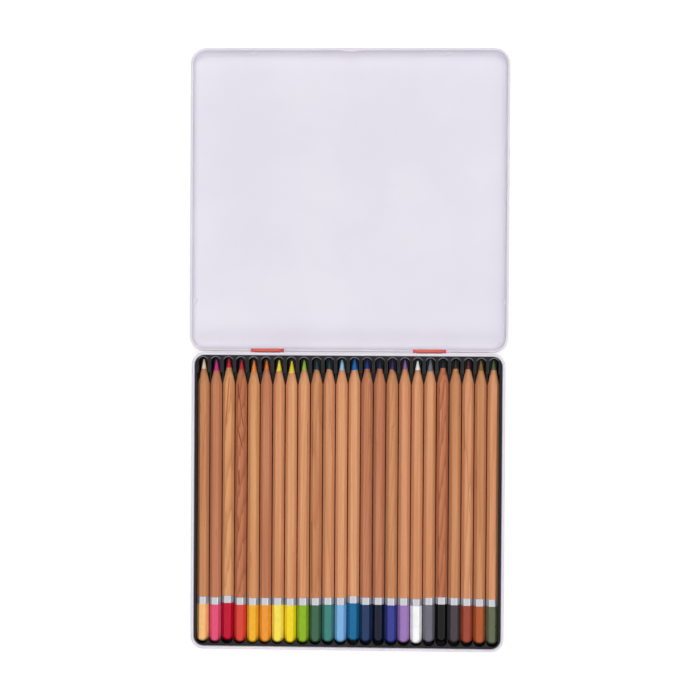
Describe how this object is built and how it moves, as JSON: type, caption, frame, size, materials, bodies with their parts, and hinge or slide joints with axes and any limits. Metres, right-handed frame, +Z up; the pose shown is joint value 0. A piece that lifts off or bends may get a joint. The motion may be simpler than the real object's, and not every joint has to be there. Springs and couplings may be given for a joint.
{
  "type": "coloured pencil tin",
  "caption": "Shallow square hinged tin, shown open with its lid laid flat, holding a row of hexagonal coloured pencils in a grooved black tray.",
  "frame": {"origin": "centre of the base pan's underside, on the surface that the tin stands on", "axes": "+X to the right along the row of pencils, +Y from the front towards the hinge and the open lid, +Z up"},
  "size_m": [0.1986, 0.3747, 0.0103],
  "materials": {
    "white_tinplate": "gloss white lacquer with a faint lavender cast inside, coral red lacquer outside",
    "black_tray": "gloss, vacuum formed",
    "cedar": "bare sanded cedar, with a silver foil band and an end dipped in the core's colour",
    "core_01": "waxy peach pigment",
    "core_02": "waxy magenta pigment",
    "core_03": "waxy crimson pigment",
    "core_04": "waxy scarlet pigment",
    "core_05": "waxy orange pigment",
    "core_06": "waxy dark orange pigment",
    "core_07": "waxy lemon yellow pigment",
    "core_08": "waxy golden yellow pigment",
    "core_09": "waxy leaf green pigment",
    "core_10": "waxy dark green pigment",
    "core_11": "waxy sea green pigment",
    "core_12": "waxy sky blue pigment",
    "core_13": "waxy blue pigment",
    "core_14": "waxy ultramarine pigment",
    "core_15": "waxy indigo pigment",
    "core_16": "waxy violet pigment",
    "core_17": "waxy lilac pigment",
    "core_18": "waxy white pigment",
    "core_19": "waxy cool grey pigment",
    "core_20": "waxy black pigment",
    "core_21": "waxy sepia pigment",
    "core_22": "waxy red brown pigment",
    "core_23": "waxy ochre pigment",
    "core_24": "waxy olive pigment"
  },
  "bodies": {
    "base": {"base_pan": "white_tinplate"},
    "lid": {"lid": "white_tinplate"},
    "tray": {"pencil_tray": "black_tray"},
    "pencil_01": {"pencil_01": "cedar", "core_01": "core_01"},
    "pencil_02": {"pencil_02": "cedar", "core_02": "core_02"},
    "pencil_03": {"pencil_03": "cedar", "core_03": "core_03"},
    "pencil_04": {"pencil_04": "cedar", "core_04": "core_04"},
    "pencil_05": {"pencil_05": "cedar", "core_05": "core_05"},
    "pencil_06": {"pencil_06": "cedar", "core_06": "core_06"},
    "pencil_07": {"pencil_07": "cedar", "core_07": "core_07"},
    "pencil_08": {"pencil_08": "cedar", "core_08": "core_08"},
    "pencil_09": {"pencil_09": "cedar", "core_09": "core_09"},
    "pencil_10": {"pencil_10": "cedar", "core_10": "core_10"},
    "pencil_11": {"pencil_11": "cedar", "core_11": "core_11"},
    "pencil_12": {"pencil_12": "cedar", "core_12": "core_12"},
    "pencil_13": {"pencil_13": "cedar", "core_13": "core_13"},
    "pencil_14": {"pencil_14": "cedar", "core_14": "core_14"},
    "pencil_15": {"pencil_15": "cedar", "core_15": "core_15"},
    "pencil_16": {"pencil_16": "cedar", "core_16": "core_16"},
    "pencil_17": {"pencil_17": "cedar", "core_17": "core_17"},
    "pencil_18": {"pencil_18": "cedar", "core_18": "core_18"},
    "pencil_19": {"pencil_19": "cedar", "core_19": "core_19"},
    "pencil_20": {"pencil_20": "cedar", "core_20": "core_20"},
    "pencil_21": {"pencil_21": "cedar", "core_21": "core_21"},
    "pencil_22": {"pencil_22": "cedar", "core_22": "core_22"},
    "pencil_23": {"pencil_23": "cedar", "core_23": "core_23"},
    "pencil_24": {"pencil_24": "cedar", "core_24": "core_24"}
  },
  "joints": [
    {"name": "lid_hinge", "type": "hinge", "parent": "base", "child": "lid", "pos_m": [0, 0.09383, 0.0065], "axis": [1, 0, 0], "range_deg": [0, 180]},
    {"name": "tray_lift", "type": "slide", "parent": "base", "child": "tray", "axis": [0, 0, 1], "range_m": [0, 0.04]},
    {"name": "pencil_01_lift", "type": "slide", "parent": "tray", "child": "pencil_01", "axis": [0, 0, 1], "range_m": [0, 0.03]},
    {"name": "pencil_02_lift", "type": "slide", "parent": "tray", "child": "pencil_02", "axis": [0, 0, 1], "range_m": [0, 0.03]},
    {"name": "pencil_03_lift", "type": "slide", "parent": "tray", "child": "pencil_03", "axis": [0, 0, 1], "range_m": [0, 0.03]},
    {"name": "pencil_04_lift", "type": "slide", "parent": "tray", "child": "pencil_04", "axis": [0, 0, 1], "range_m": [0, 0.03]},
    {"name": "pencil_05_lift", "type": "slide", "parent": "tray", "child": "pencil_05", "axis": [0, 0, 1], "range_m": [0, 0.03]},
    {"name": "pencil_06_lift", "type": "slide", "parent": "tray", "child": "pencil_06", "axis": [0, 0, 1], "range_m": [0, 0.03]},
    {"name": "pencil_07_lift", "type": "slide", "parent": "tray", "child": "pencil_07", "axis": [0, 0, 1], "range_m": [0, 0.03]},
    {"name": "pencil_08_lift", "type": "slide", "parent": "tray", "child": "pencil_08", "axis": [0, 0, 1], "range_m": [0, 0.03]},
    {"name": "pencil_09_lift", "type": "slide", "parent": "tray", "child": "pencil_09", "axis": [0, 0, 1], "range_m": [0, 0.03]},
    {"name": "pencil_10_lift", "type": "slide", "parent": "tray", "child": "pencil_10", "axis": [0, 0, 1], "range_m": [0, 0.03]},
    {"name": "pencil_11_lift", "type": "slide", "parent": "tray", "child": "pencil_11", "axis": [0, 0, 1], "range_m": [0, 0.03]},
    {"name": "pencil_12_lift", "type": "slide", "parent": "tray", "child": "pencil_12", "axis": [0, 0, 1], "range_m": [0, 0.03]},
    {"name": "pencil_13_lift", "type": "slide", "parent": "tray", "child": "pencil_13", "axis": [0, 0, 1], "range_m": [0, 0.03]},
    {"name": "pencil_14_lift", "type": "slide", "parent": "tray", "child": "pencil_14", "axis": [0, 0, 1], "range_m": [0, 0.03]},
    {"name": "pencil_15_lift", "type": "slide", "parent": "tray", "child": "pencil_15", "axis": [0, 0, 1], "range_m": [0, 0.03]},
    {"name": "pencil_16_lift", "type": "slide", "parent": "tray", "child": "pencil_16", "axis": [0, 0, 1], "range_m": [0, 0.03]},
    {"name": "pencil_17_lift", "type": "slide", "parent": "tray", "child": "pencil_17", "axis": [0, 0, 1], "range_m": [0, 0.03]},
    {"name": "pencil_18_lift", "type": "slide", "parent": "tray", "child": "pencil_18", "axis": [0, 0, 1], "range_m": [0, 0.03]},
    {"name": "pencil_19_lift", "type": "slide", "parent": "tray", "child": "pencil_19", "axis": [0, 0, 1], "range_m": [0, 0.03]},
    {"name": "pencil_20_lift", "type": "slide", "parent": "tray", "child": "pencil_20", "axis": [0, 0, 1], "range_m": [0, 0.03]},
    {"name": "pencil_21_lift", "type": "slide", "parent": "tray", "child": "pencil_21", "axis": [0, 0, 1], "range_m": [0, 0.03]},
    {"name": "pencil_22_lift", "type": "slide", "parent": "tray", "child": "pencil_22", "axis": [0, 0, 1], "range_m": [0, 0.03]},
    {"name": "pencil_23_lift", "type": "slide", "parent": "tray", "child": "pencil_23", "axis": [0, 0, 1], "range_m": [0, 0.03]},
    {"name": "pencil_24_lift", "type": "slide", "parent": "tray", "child": "pencil_24", "axis": [0, 0, 1], "range_m": [0, 0.03]}
  ]
}
